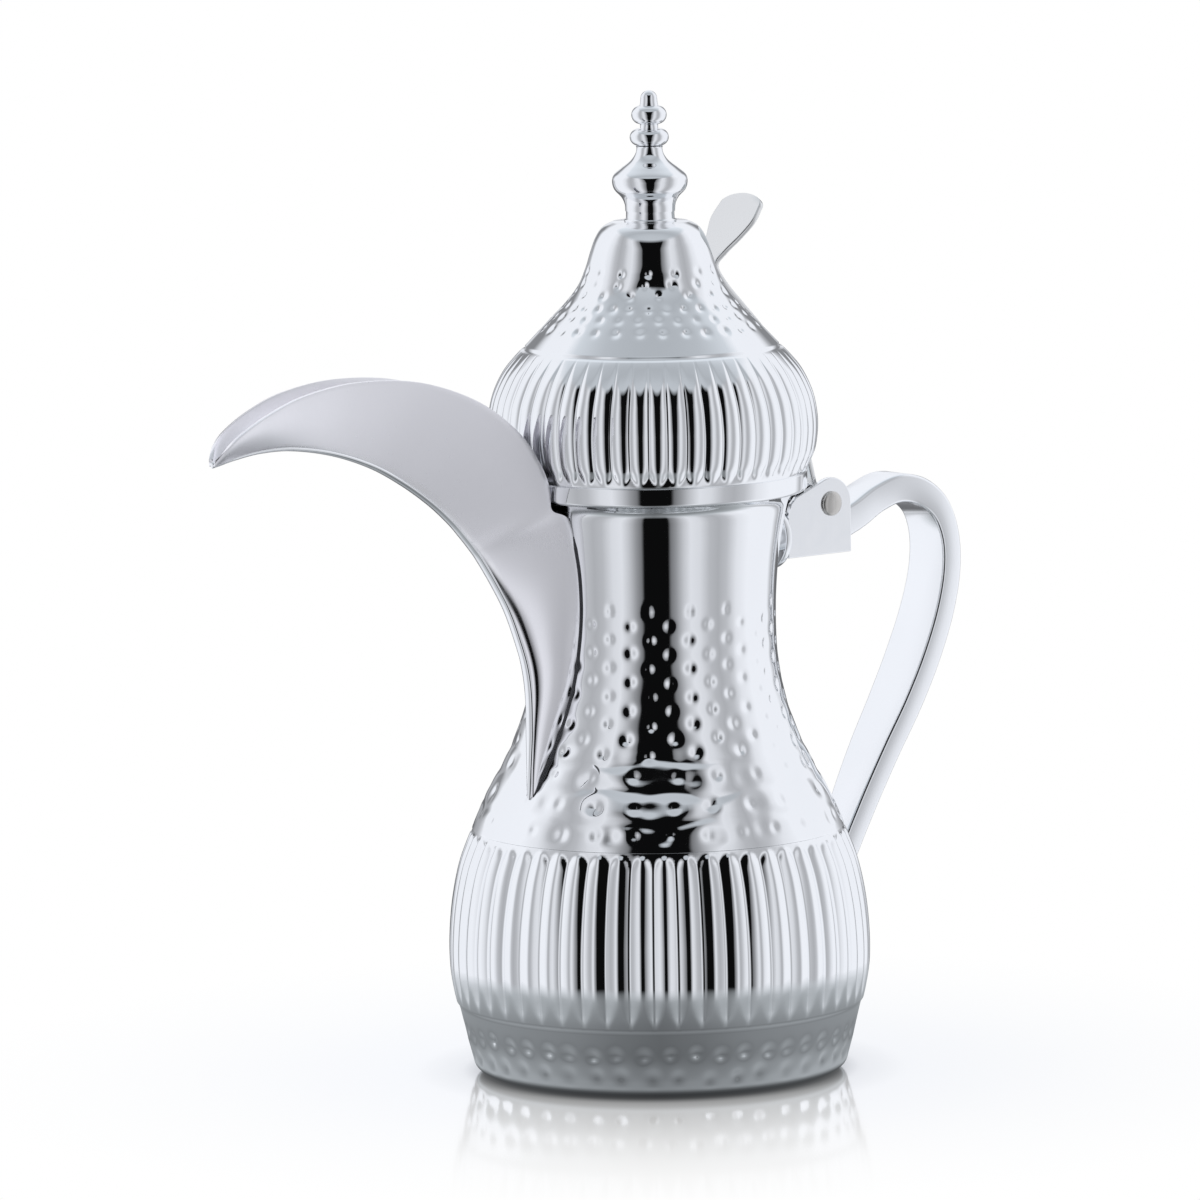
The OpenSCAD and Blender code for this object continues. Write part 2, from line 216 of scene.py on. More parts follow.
def fluted(angle, z, relief, low, high, bow):
    """How far the sheet lies below the crowns of its ribs, which meet in sharp valleys.

    An end is (height, length, rounded): the ribs come to a round tip, or else the valleys do.
    A bow of 1 makes straight flanks, and a larger one makes flatter crowns."""
    pitch = TAU / relief.flutes
    offset = abs(((angle - relief.flute_phase) / pitch + 0.5) % 1 - 0.5)
    depth, rib, valley = relief.flute_depth / MM, 1.0, 1.0
    for rise, (_, length, rounded) in ((z - low[0], low), (high[0] - z, high)):
        if rise <= 0:
            return 0.0
        share = min(1.0, rise / length)
        if rounded:
            rib = min(rib, math.sqrt(1 - (1 - share) ** 2))
            depth *= ease(rise, 0.0, 0.35 * length)
        else:
            valley = min(valley, math.sin(math.pi / 2 * share))
    side = 1 - offset / (0.5 * valley)
    if side <= 0:
        return 0.0
    return depth * valley * min(1.0, side / rib) ** bow


class Dents:
    """Rows of round hammer marks. A row is (height, count, spread, depth)."""

    def __init__(self, rows, seed, wander):
        draw = random.Random(seed)
        self.rows = []
        for k, (z, count, spread, depth) in enumerate(rows):
            marks = []
            for _ in range(count):
                marks.append((
                    draw.uniform(-wander, wander) * spread,
                    draw.uniform(-wander, wander) * spread,
                    draw.uniform(0.85, 1.15),
                    draw.uniform(0.8, 1.15),
                ))
            self.rows.append((z, count, spread, depth, 0.5 * (k % 2), marks))

    def at(self, angle, z, radius, upright):
        """The depth of the marks at a place on the sheet, in millimetres."""
        total = 0.0
        for row_z, count, spread, depth, shift, marks in self.rows:
            rise = (z - row_z) / upright
            if abs(rise) > 4 * spread:
                continue
            place = angle / TAU * count - shift
            first = math.floor(place)
            for k in (first, first + 1):
                aside, up, size, force = marks[k % count]
                across = (place - k) / count * TAU * radius - aside
                distance = (across ** 2 + (rise - up) ** 2) / (spread * size) ** 2
                if distance < 9:
                    total += depth * force * math.exp(-distance)
        return total


def press(bm, outline, relief, low, high):
    """Pushes the outer side of a spun sheet inwards by relief(angle, z, radius, upright)."""
    for v in bm.verts:
        x, y, z = v.co / MM
        if not low <= z <= high:
            continue
        radius, radial, upward = outline.at(z)
        if abs(math.hypot(x, y) - radius) > 0.1:
            continue
        angle = math.atan2(y, x)
        depth = relief(angle, z, radius, radial)
        out = Vector((math.cos(angle) * radial, math.sin(angle) * radial, upward))
        v.co -= out * depth * MM


# ---------------------------------------------------------------- bmesh helpers

def spun(points, columns, closed=True, start=0.0, turn=None, sectors=1):
    """A mesh of (radius, height) points turned about the pot's axis, or about turn's.

    A fine one is spun as one sector, which is then repeated round the axis."""
    bm = bmesh.new()
    ring = []
    for r, z in points:
        ring.append(bm.verts.new((r * MM * math.cos(start), r * MM * math.sin(start), z * MM)))
    edges = [bm.edges.new(pair) for pair in zip(ring, ring[1:])]
    if closed:
        edges.append(bm.edges.new((ring[-1], ring[0])))
    bmesh.ops.spin(bm, geom=ring + edges, axis=(0, 0, 1), cent=(0, 0, 0), dvec=(0, 0, 0),
                   angle=TAU / sectors, steps=columns // sectors, use_merge=sectors == 1)
    sector = bm.verts[:] + bm.edges[:] + bm.faces[:]
    for k in range(1, sectors):
        copy = bmesh.ops.duplicate(bm, geom=sector)["geom"]
        moved = [part for part in copy if isinstance(part, bmesh.types.BMVert)]
        bmesh.ops.rotate(bm, cent=(0, 0, 0), verts=moved,
                         matrix=Matrix.Rotation(TAU * k / sectors, 3, "Z"))
    tidy(bm)
    if turn is not None:
        bmesh.ops.transform(bm, matrix=turn, verts=bm.verts)
    return bm


def tidy(bm):
    """Merges doubled points and turns every face outwards."""
    bmesh.ops.remove_doubles(bm, verts=bm.verts, dist=0.0008 * MM)
    bmesh.ops.dissolve_degenerate(bm, edges=bm.edges, dist=0.0005 * MM)
    bmesh.ops.recalc_face_normals(bm, faces=bm.faces)


def bent_grid(rows, columns, place, capped):
    """A grid whose points go to place(share along, share across). A capped one is a tube."""
    bm = bmesh.new()
    bmesh.ops.create_grid(bm, x_segments=rows, y_segments=columns, size=1)
    for v in bm.verts:
        v.co = Vector(place((v.co.x + 1) / 2, (v.co.y + 1) / 2)) * MM
    if capped:
        bmesh.ops.remove_doubles(bm, verts=bm.verts, dist=0.0008 * MM)
        bmesh.ops.holes_fill(bm, edges=bm.edges, sides=0)
    bmesh.ops.recalc_face_normals(bm, faces=bm.faces)
    return bm


CORNER_STEPS = 4
SECTION_STEPS = 4 * (CORNER_STEPS + 1)


def rounded_section(share, half_a, half_b, corner):
    """A point of a rounded rectangle, at a share of the way round it."""
    step = round(share * SECTION_STEPS) % SECTION_STEPS
    quarter, part = divmod(step, CORNER_STEPS + 1)
    angle = math.radians(90 * quarter + 90 * part / CORNER_STEPS)
    side_a = 1 if quarter in (0, 3) else -1
    side_b = 1 if quarter in (0, 1) else -1
    return (side_a * (half_a - corner) + corner * math.cos(angle),
            side_b * (half_b - corner) + corner * math.sin(angle))


def make_piece(bm, name, material, body, nodes, crease=35, flat=None):
    """Links a finished mesh as a piece that rides on a body, and hides the CAD nodes it takes the place
    of.

    Faces larger than flat, in square millimetres, are shaded flat."""
    limit = math.radians(crease)
    for face in bm.faces:
        face.smooth = flat is None or face.calc_area() < flat * MM * MM
    for edge in bm.edges:
        edge.smooth = edge.calc_face_angle(0.0) < limit
    mesh = bpy.data.meshes.new(name)
    bm.to_mesh(mesh)
    bm.free()
    piece = bpy.data.objects.new(name, mesh)
    mesh.materials.append(material)
    bpy.context.scene.collection.objects.link(piece)
    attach(piece, body)
    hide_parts(*nodes)


def plate(outline, low, high):
    """A flat plate with an (x, z) outline, between two places along Y."""
    bm = bmesh.new()
    ring = [bm.verts.new((x * MM, low * MM, z * MM)) for x, z in outline]
    side = bmesh.ops.extrude_face_region(bm, geom=[bm.faces.new(ring)])["geom"]
    far = [part for part in side if isinstance(part, bmesh.types.BMVert)]
    bmesh.ops.translate(bm, verts=far, vec=(0, (high - low) * MM, 0))
    bmesh.ops.recalc_face_normals(bm, faces=bm.faces)
    return bm


def arc(x, z, radius, start, end, steps):
    """Points along an arc in the XZ plane, in degrees."""
    angles = [math.radians(start + (end - start) * k / steps) for k in range(steps + 1)]
    return [(x + radius * math.cos(a), z + radius * math.sin(a)) for a in angles]


def loose_object(bm, name):
    """A mesh as an object of its own, for a boolean."""
    mesh = bpy.data.meshes.new(name)
    bm.to_mesh(mesh)
    bm.free()
    thing = bpy.data.objects.new(name, mesh)
    bpy.context.scene.collection.objects.link(thing)
    return thing


def carved(bm, cutter):
    """The first mesh with the second one cut out of it."""
    before = len(bm.faces)
    kept = loose_object(bm, "kept")
    taken = loose_object(cutter, "taken")
    cut = kept.modifiers.new("Cut", "BOOLEAN")
    cut.operation = "DIFFERENCE"
    cut.solver = "MANIFOLD"
    cut.object = taken
    bpy.context.view_layer.update()
    graph = bpy.context.evaluated_depsgraph_get()
    result = bpy.data.meshes.new_from_object(kept.evaluated_get(graph))
    if len(result.polygons) <= before:
        raise RuntimeError("A cut left its shape as it was")
    out = bmesh.new()
    out.from_mesh(result)
    bpy.data.meshes.remove(result)
    for thing in (kept, taken):
        mesh = thing.data
        bpy.data.objects.remove(thing)
        bpy.data.meshes.remove(mesh)
    return out


def soften(bm, width, angle=40, segments=2):
    """Bevels every edge sharper than an angle."""
    limit = math.radians(angle)
    sharp = [e for e in bm.edges if e.calc_face_angle(0.0) > limit]
    bmesh.ops.bevel(bm, geom=sharp, offset=width * MM, offset_type="OFFSET", affect="EDGES",
                    segments=segments, profile=0.5, material=-1, clamp_overlap=True)


# ---------------------------------------------------------------- shared node groups

def group_socket(group, name, way, kind="NodeSocketFloat", default=None):
    """Adds an input or an output to a node group."""
    socket = group.interface.new_socket(name=name, in_out=way, socket_type=kind)
    if default is not None:
        socket.default_value = default


def new_group(name):
    """An empty shader node group with its two end nodes."""
    group = bpy.data.node_groups.new(name, "ShaderNodeTree")
    return group, group.nodes.new("NodeGroupInput"), group.nodes.new("NodeGroupOutput")


def add(tree, kind, **settings):
    """A new node with its properties set."""
    node = tree.nodes.new(kind)
    for key, value in settings.items():
        setattr(node, key, value)
    return node


def math_node(tree, operation, first, second=None):
    """A Math node fed by sockets or numbers."""
    node = add(tree, "ShaderNodeMath", operation=operation)
    for socket, value in zip(node.inputs, (first, second)):
        if value is None:
            continue
        if isinstance(value, (int, float)):
            socket.default_value = value
        else:
            tree.links.new(value, socket)
    return node.outputs[0]


def ramp_node(tree, factor, stops, smooth=False):
    """A Color Ramp with (position, grey) or (position, colour) stops."""
    node = add(tree, "ShaderNodeValToRGB")
    node.color_ramp.interpolation = "EASE" if smooth else "LINEAR"
    elements = node.color_ramp.elements
    while len(elements) < len(stops):
        elements.new(0.5)
    for element, (position, value) in zip(elements, stops):
        element.position = position
        colour = (value,) * 3 if isinstance(value, (int, float)) else tuple(value)
        element.color = (*colour, 1)
    tree.links.new(factor, node.inputs["Fac"])
    return node.outputs["Color"]


def degree_ramp(tree, factor, stops, zero=0.0):
    """A Color Ramp with (degrees, value) stops, which half a turn fills from end to end."""
    return ramp_node(tree, factor, [(degrees / 180 + zero, value) for degrees, value in stops])


def tinted(stops, tint):
    """Grey stops in one tint."""
    return [(place, tuple(value * part for part in tint)) for place, value in stops]


def mixed_colour(tree, factor, first, second, blend="MIX"):
    """Two colours mixed by a factor."""
    node = add(tree, "ShaderNodeMix", data_type="RGBA", blend_type=blend)
    tree.links.new(factor, node.inputs["Factor"])
    tree.links.new(first, node.inputs["A"])
    tree.links.new(second, node.inputs["B"])
    return node.outputs["Result"]


def mixed_shader(tree, factor, first, second):
    """Two shaders mixed by a factor."""
    node = add(tree, "ShaderNodeMixShader")
    tree.links.new(factor, node.inputs["Fac"])
    tree.links.new(first, node.inputs[1])
    tree.links.new(second, node.inputs[2])
    return node.outputs["Shader"]


def polish_group():
    """Fine wiping and buffing marks: a haze value and a height for the bump."""
    name = "Polish marks"
    if name in bpy.data.node_groups:
        return bpy.data.node_groups[name]
    group, start, end = new_group(name)
    group_socket(group, "Vector", "INPUT", "NodeSocketVector")
    group_socket(group, "Grain scale", "INPUT", default=900.0)
    group_socket(group, "Haze scale", "INPUT", default=18.0)
    group_socket(group, "Haze", "OUTPUT")
    group_socket(group, "Height", "OUTPUT")
    group_socket(group, "Tone", "OUTPUT")
    vector = start.outputs["Vector"]
    haze = add(group, "ShaderNodeTexNoise")
    haze.inputs["Detail"].default_value = 4.0
    group.links.new(vector, haze.inputs["Vector"])
    group.links.new(start.outputs["Haze scale"], haze.inputs["Scale"])
    stretched = add(group, "ShaderNodeVectorMath", operation="MULTIPLY")
    stretched.inputs[1].default_value = (1.0, 1.0, 0.06)
    group.links.new(vector, stretched.inputs[0])
    grain = add(group, "ShaderNodeTexNoise")
    grain.inputs["Detail"].default_value = 2.0
    group.links.new(stretched.outputs["Vector"], grain.inputs["Vector"])
    group.links.new(start.outputs["Grain scale"], grain.inputs["Scale"])
    both = math_node(group, "MULTIPLY", haze.outputs["Fac"], grain.outputs["Fac"])
    group.links.new(both, end.inputs["Haze"])
    group.links.new(grain.outputs["Fac"], end.inputs["Height"])
    group.links.new(haze.outputs["Fac"], end.inputs["Tone"])
    return group


def edge_group():
    """Where handling has rubbed the edges: a mask from the mesh's own sharpness."""
    name = "Rubbed edges"
    if name in bpy.data.node_groups:
        return bpy.data.node_groups[name]
    group, start, end = new_group(name)
    group_socket(group, "Vector", "INPUT", "NodeSocketVector")
    group_socket(group, "Patch scale", "INPUT", default=220.0)
    group_socket(group, "Mask", "OUTPUT")
    geometry = add(group, "ShaderNodeNewGeometry")
    patches = add(group, "ShaderNodeTexNoise")
    patches.inputs["Detail"].default_value = 3.0
    group.links.new(start.outputs["Vector"], patches.inputs["Vector"])
    group.links.new(start.outputs["Patch scale"], patches.inputs["Scale"])
    sharp = ramp_node(group, geometry.outputs["Pointiness"], [(0.52, 0.0), (0.6, 1.0)])
    spots = ramp_node(group, patches.outputs["Fac"], [(0.4, 0.2), (0.62, 1.0)])
    mask = math_node(group, "MULTIPLY", sharp, spots)
    group.links.new(mask, end.inputs["Mask"])
    return group


def steel(name, light, dark, smooth, rough, grain_scale, bump, worn=0.12, buffed=None):
    """A steel finish: two tones, a roughness range, fine upright grain and rubbed edges.

    Between the two heights in buffed the finish turns from a brighter polish to this one."""
    if name in bpy.data.materials:
        return bpy.data.materials[name]
    material = bpy.data.materials.new(name)
    material.use_nodes = True
    tree = material.node_tree
    shader = tree.nodes["Principled BSDF"]
    shader.inputs["Metallic"].default_value = 1.0
    place = add(tree, "ShaderNodeTexCoord")
    marks = add(tree, "ShaderNodeGroup", node_tree=polish_group())
    marks.inputs["Grain scale"].default_value = grain_scale
    tree.links.new(place.outputs["Object"], marks.inputs["Vector"])
    edges = add(tree, "ShaderNodeGroup", node_tree=edge_group())
    tree.links.new(place.outputs["Object"], edges.inputs["Vector"])
    tone = ramp_node(tree, marks.outputs["Tone"], [(0.3, dark), (0.7, light)])
    bright = add(tree, "ShaderNodeMix", data_type="RGBA")
    rubbed_light = tuple(min(1, c * 1.04) for c in light)
    bright.inputs["B"].default_value = (*rubbed_light, 1)
    tree.links.new(math_node(tree, "MULTIPLY", edges.outputs["Mask"], 0.6), bright.inputs["Factor"])
    tree.links.new(tone, bright.inputs["A"])
    tree.links.new(bright.outputs["Result"], shader.inputs["Base Color"])
    spread = add(tree, "ShaderNodeMapRange")
    spread.inputs["From Min"].default_value = 0.12
    spread.inputs["From Max"].default_value = 0.4
    spread.inputs["To Min"].default_value = smooth
    spread.inputs["To Max"].default_value = rough
    tree.links.new(marks.outputs["Haze"], spread.inputs["Value"])
    rubbed = math_node(tree, "MULTIPLY", edges.outputs["Mask"], worn)
    total = math_node(tree, "ADD", spread.outputs["Result"], rubbed)
    if buffed is not None:
        split = add(tree, "ShaderNodeSeparateXYZ")
        tree.links.new(place.outputs["Object"], split.inputs["Vector"])
        rise = add(tree, "ShaderNodeMapRange")
        rise.inputs["From Min"].default_value = buffed[0] * MM
        rise.inputs["From Max"].default_value = buffed[1] * MM
        rise.inputs["To Min"].default_value = 0.3
        tree.links.new(split.outputs["Z"], rise.inputs["Value"])
        total = math_node(tree, "MULTIPLY", total, rise.outputs["Result"])
    tree.links.new(total, shader.inputs["Roughness"])
    height = add(tree, "ShaderNodeBump")
    height.inputs["Strength"].default_value = bump
    height.inputs["Distance"].default_value = 0.02 * MM
    tree.links.new(marks.outputs["Height"], height.inputs["Height"])
    tree.links.new(height.outputs["Normal"], shader.inputs["Normal"])
    return material


def mirror_steel():
    """The buffed sheet of the body and the lid."""
    tint = bpy.context.scene.dallah_steel
    light = tuple(tint.mirror_tint)
    dark = tuple(c * 0.965 for c in light)
    return steel("Mirror steel", light, dark, tint.mirror_roughness * 0.6, tint.mirror_roughness,
                 1400.0, 0.03, worn=0.03)


def satin_steel():
    """The softly brushed sheet of the spout."""
    tint = bpy.context.scene.dallah_steel
    light = tuple(tint.satin_tint)
    dark = tuple(c * 0.975 for c in light)
    return steel("Satin steel", light, dark, tint.satin_roughness * 0.9,
                 tint.satin_roughness * 1.1, 2600.0, 0.006, worn=-0.1, buffed=(125, 175))


def cast_steel():
    """The soft polish of the handle, the bracket and the thumb lever."""
    tint = bpy.context.scene.dallah_steel
    light = tuple(min(1.0, c * 1.04) for c in tint.mirror_tint)
    dark = tuple(c * 0.96 for c in light)
    return steel("Cast steel", light, dark, tint.cast_roughness * 0.85,
                 tint.cast_roughness * 1.2, 1800.0, 0.08, worn=-0.05)


def shaded_lever_steel():
    """The thumb lever's polish, the handle's steel with its colour darkened as painted shade."""
    # Painted shade: a darker tint that makes the plate face show greyer than the handle.
    return steel("Lever steel with painted shade", (0.8, 0.8, 0.79), (0.76, 0.76, 0.755), 0.07, 0.12, 1500.0, 0.04,
                 worn=-0.03)


def shaded_seam_steel():
    """A soldered seam's line, coloured near black as painted shade of the crease where the spout meets
    the neck.
    """
    # Painted shade: the near-black colour stands for the shade in the joint's crease.
    return steel("Seam steel with painted shade", (0.13, 0.13, 0.14), (0.05, 0.05, 0.055), 0.3, 0.5, 900.0, 0.3)


def rivet_steel():
    """The duller, warmer face of the rivet."""
    return steel("Rivet steel", (0.71, 0.69, 0.66), (0.55, 0.53, 0.5), 0.22, 0.42, 1500.0, 0.5,
                 worn=0.05)


def inside_steel():
    """The plain mill finish of the hidden fittings and of the underside."""
    return steel("Mill steel", (0.66, 0.67, 0.69), (0.6, 0.61, 0.63), 0.24, 0.34, 900.0, 0.05,
                 worn=-0.06)


# ---------------------------------------------------------------- body

def build_belly(relief):
    """The fluted lower body with its hammered base band."""
    outline = Outline(BELLY)
    foot_r = BELLY[0][0]
    step_z, step_depth, lip_depth = 21.4, 0.45, 0.35
    flutes_low, flutes_high = step_z + 0.5, SEAM_Z - 0.7
    band = Dents([(13.8, 48, 1.9, 0.72), (7, 42, 2.3, 0.68)], seed=3, wander=0.35)

    def pitch(z):
        if z < step_z + 5:
            return 0.55
        return 0.6 if z > SEAM_Z - 6 else 1.5

    def surface(angle, z, radius, upright):
        base = step_depth * (1 - ease(z, step_z - 0.35, step_z + 0.35)) * ease(z, 1.5, 5)
        lip = lip_depth * ease(z, SEAM_Z - 1.7, SEAM_Z - 0.9)
        flute = 0.0
        if flutes_low < z < flutes_high:
            flute = fluted(angle, z, relief, (flutes_low, 9.0, False), (flutes_high, 5.0, True), 1.5)
        dents = band.at(angle, z, radius, upright) if z < step_z - 1 else 0.0
        return base + lip + flute + dents

    points = outline.spaced(pitch)
    inside = outline.inner(3.4, SEAM_Z, 12) + [(foot_r - SHEET, 1.4), (foot_r - SHEET, 0)]
    bm = spun(points + inside, relief.flutes * 12, start=relief.flute_phase, sectors=relief.flutes)
    press(bm, outline, surface, 0.5, SEAM_Z)
    make_piece(bm, "belly_sheet", mirror_steel(), "pot", ["belly_shell"], crease=40)


def strainer_rods():
    """Short rods where the strainer's holes go through the neck behind the spout."""
    bm = bmesh.new()
    pitch, hole_r, rod = 4.4, 1.6, 14
    wall_x, first_z = -38, 126
    for row in range(8):
        for k in (-1, 0) if row % 2 else (-1, 0, 1):
            at = Vector((wall_x, (k + row % 2 / 2) * pitch, first_z + row * pitch)) * MM
            turn = Matrix.Translation(at) @ Matrix.Rotation(math.pi / 2, 4, "Y")
            bmesh.ops.create_cone(bm, cap_ends=True, segments=20, radius1=hole_r * MM,
                                  radius2=hole_r * MM, depth=rod * MM, matrix=turn)
    return bm


def build_neck(relief):
    """The hammered upper body with its smooth collar, flared lip and strainer holes."""
    outline = Outline(NECK)
    top_row, row_gap, hollows_top, collar_z = 144.7, 4.2, 116, 148
    grooves, groove_depth, groove_width = (100.2, 91.9, 83.5), 0.24, 1.6
    rows = []
    for k in range(11):
        rows.append((top_row - row_gap * k, 19, 1.22 + 0.03 * k, 0.42 + 0.012 * k))
    rows += [(96.2, 22, 1.6, 0.36), (87.8, 26, 1.6, 0.36), (80, 30, 1.5, 0.34)]
    marks = Dents(rows, seed=8, wander=0.35)
    hollows = Dents([(103, 15, 3.0, 0.3), (95.8, 17, 3.0, 0.34), (87.4, 19, 3.2, 0.4),
                     (79.8, 21, 3.0, 0.36)], seed=21, wander=0.4)
    drawn_for = 0.45  # the mark depth that the rows' depths are given for
    depth = relief.dent_depth / MM / drawn_for

    def pitch(z):
        return 0.55 if z < 144 else 1.3

    def surface(angle, z, radius, upright):
        hollow = 0.0
        for k, ring_z in enumerate(grooves):
            sway = 0.9 * math.sin(5 * angle + 2.1 * k) + 0.6 * math.sin(13 * angle + 4.4 * k)
            hollow += groove_depth * math.exp(-((z - ring_z - sway) / groove_width) ** 2)
        if z < hollows_top:
            hollow += hollows.at(angle, z, radius, upright)
        fade = ease(z, SEAM_Z + 0.6, SEAM_Z + 3)
        return fade * (hollow + depth * marks.at(angle, z, radius, upright))

    points = outline.spaced(pitch)
    inside = outline.inner(SEAM_Z, MOUTH_Z - 0.2, 16)
    bm = spun(points + inside, 480, sectors=40)
    press(bm, outline, surface, SEAM_Z + 0.5, collar_z)
    bm = carved(bm, strainer_rods())
    make_piece(bm, "neck_sheet", mirror_steel(), "pot", ["neck_shell"], crease=62)


# ---------------------------------------------------------------- spout

def spout_place(share, u, side):
    """A point of a spout half: share runs from root to tip and u from keel to edge."""
    kx, kz, ex, ez, w = along(SPOUT, share)
    full = 0.9 - 0.75 * ease(share, 0.15, 0.5)
    bow = 0.5 * u + 0.5 * math.sin(math.pi / 2 * u)
    round_bow = math.sqrt(max(0.0, 1 - (1 - u) ** 2))
    out = 1.1 + (w - 1.1) * ((1 - full) * bow + full * round_bow)
    return kx + (ex - kx) * u, side * out, kz + (ez - kz) * u


def build_spout_half(name, node, side):
    """One bent half of the open spout, thickened inwards, with its rim rounded."""
    bm = bent_grid(140, 20, lambda s, u: spout_place(s, u, side), capped=False)
    facing = sum((f.normal.y * f.calc_area() for f in bm.faces))
    if facing * side < 0:
        bmesh.ops.reverse_faces(bm, faces=bm.faces)
    bmesh.ops.solidify(bm, geom=bm.faces, thickness=SHEET * MM)
    middle_gap = 0.04 * MM
    for v in bm.verts:
        if v.co.y * side < middle_gap:
            v.co.y = middle_gap * side
    bm.normal_update()
    soften(bm, 0.3, angle=55)
    make_piece(bm, name, satin_steel(), "pot", [node], crease=50)


def keel_place(share, u):
    """A point of the keel's oval strip, tapered at both ends."""
    inset, half_thick, half_wide = 0.4, 0.9, 1.75
    kx, kz = along(SPOUT, share)[:2]
    ahead = along(SPOUT, min(1, share + 0.004))
    behind = along(SPOUT, max(0, share - 0.004))
    way = Vector((ahead[0] - behind[0], 0, ahead[1] - behind[1])).normalized()
    inward = Vector((way.z, 0, -way.x))
    station = share * (len(SPOUT) - 1) * 2
    taper = min(1, 0.35 + station / 6, 0.25 + (2 * (len(SPOUT) - 1) - station) / 5)
    angle = TAU * u
    centre = Vector((kx, 0, kz)) + inward * inset
    point = centre + inward * (half_thick * math.cos(angle))
    point.y = half_wide * taper * math.sin(angle)
    return point


def build_keel():
    """The round-backed strip that closes the spout's lower edge."""
    bm = bent_grid(200, 16, keel_place, capped=True)
    make_piece(bm, "spout_keel_strip", mirror_steel(), "pot", ["spout_keel"], crease=60)


def seam_points(side):
    """Where a spout half meets the neck, from the spout's root upwards."""
    outline = Outline(NECK)
    stations, stride, halvings = 121, 0.004, 24
    points = []
    for k in range(stations):
        share = stride * (k + 1)
        low, high = 0.0, 1.0
        for _ in range(halvings):
            u = (low + high) / 2
            x, y, z = spout_place(share, u, side)
            if math.hypot(x, y) > outline.at(z)[0]:
                low = u
            else:
                high = u
        if 0.01 < u < 0.99:
            points.append(spout_place(share, u, side))
    return points


def build_seam(name, node, side):
    """The soldered line between a spout half and the neck, its near-black colour painted shade of the
    joint.
    """
    points = seam_points(side)

    def place(share, u):
        centre = Vector(along(points, share))
        ahead = Vector(along(points, min(1, share + 0.01)))
        behind = Vector(along(points, max(0, share - 0.01)))
        way = (ahead - behind).normalized()
        out = Vector((centre.x, centre.y, 0)).normalized()
        aside = way.cross(out).normalized()
        taper = min(1.0, 0.3 + 12 * share, 0.3 + 12 * (1 - share))
        return centre + taper * SEAM_R * (aside * math.cos(TAU * u) + out * math.sin(TAU * u))

    bm = bent_grid(160, 10, place, capped=True)
    make_piece(bm, name, shaded_seam_steel(), "pot", [node], crease=60)


# ---------------------------------------------------------------- handle and hinge

def handle_place(share, u):
    """A point of the handle's bar."""
    x, z, thick, wide = along(HANDLE, share)
    ahead = along(HANDLE, min(1, share + 0.004))
    behind = along(HANDLE, max(0, share - 0.004))
    way = Vector((ahead[0] - behind[0], 0, ahead[1] - behind[1])).normalized()
    up = Vector((-way.z, 0, way.x))
    a, b = rounded_section(u, thick / 2, wide / 2, 1.1)
    return Vector((x, 0, z)) + up * a + Vector((0, b, 0))


def build_handle():
    """The square-edged bar, cut flat against the bracket and the foot's pad."""
    bm = bent_grid(150, SECTION_STEPS, handle_place, capped=True)
    middle_z = 110
    for plane_x, upper in ((BRACKET_END, True), (FOOT_X, False)):
        near = [f for f in bm.faces if (f.calc_center_median().z > middle_z * MM) == upper]
        parts = set(near) | {e for f in near for e in f.edges} | {v for f in near for v in f.verts}
        bmesh.ops.bisect_plane(bm, geom=list(parts), dist=1e-7, plane_co=(plane_x * MM, 0, 0),
                               plane_no=(-1, 0, 0), clear_outer=True)
    bmesh.ops.holes_fill(bm, edges=bm.edges, sides=0)
    bmesh.ops.recalc_face_normals(bm, faces=bm.faces)
    make_piece(bm, "handle_bar", cast_steel(), "pot", ["handle"], crease=40)


def side_turn(x, z):
    """Turns a shape made about Z so that its axis lies along Y through a point."""
    return Matrix.Translation(Vector((x, 0, z)) * MM) @ Matrix.Rotation(math.pi / 2, 4, "X")


def forward_turn(x, z):
    """Turns a shape made about Z so that its axis lies along X through a point."""
    return Matrix.Translation(Vector((x, 0, z)) * MM) @ Matrix.Rotation(math.pi / 2, 4, "Y")


def build_rivet():
    """The hinge rivet with a domed head outside each ear."""
    shank, head, ear = 2.0, 3.8, 8.0
    rim, chamfer = 0.35, 0.15
    tall = PIN_HALF - ear - rim
    dome = [(head * math.cos(math.radians(a)) ** 0.7, ear + rim + tall * math.sin(math.radians(a)))
            for a in range(0, 91, 9)]
    upper = [(shank, 0), (shank, ear), (head - chamfer, ear), (head, ear + chamfer)] + dome
    lower = [(r, -y) for r, y in reversed(upper[1:])]
    bm = spun(lower + upper, 48, closed=False, turn=side_turn(PIN.x, PIN.z))
    make_piece(bm, "hinge_rivet", rivet_steel(), "pot", ["hinge_pin"])


def build_flange():
    """The round disc between the neck and the bracket, with a rolled rim."""
    r, t = FLANGE_R, FLANGE_T
    rim = [(r - 0.6 + 0.6 * math.sin(math.radians(a)), 0.6 - 0.6 * math.cos(math.radians(a)))
           for a in range(0, 91, 15)]
    rim += [(r - 0.9 + 0.9 * math.cos(math.radians(a)), t - 0.9 + 0.9 * math.sin(math.radians(a)))
            for a in range(0, 91, 15)]
    points = [(0, 0), (r * 0.5, 0)] + rim + [(r * 0.5, t), (0, t)]
    bm = spun(points, 96, closed=False, turn=forward_turn(FLANGE_X, FLANGE_Z))
    make_piece(bm, "flange_disc", mirror_steel(), "pot", ["boss_flange"])


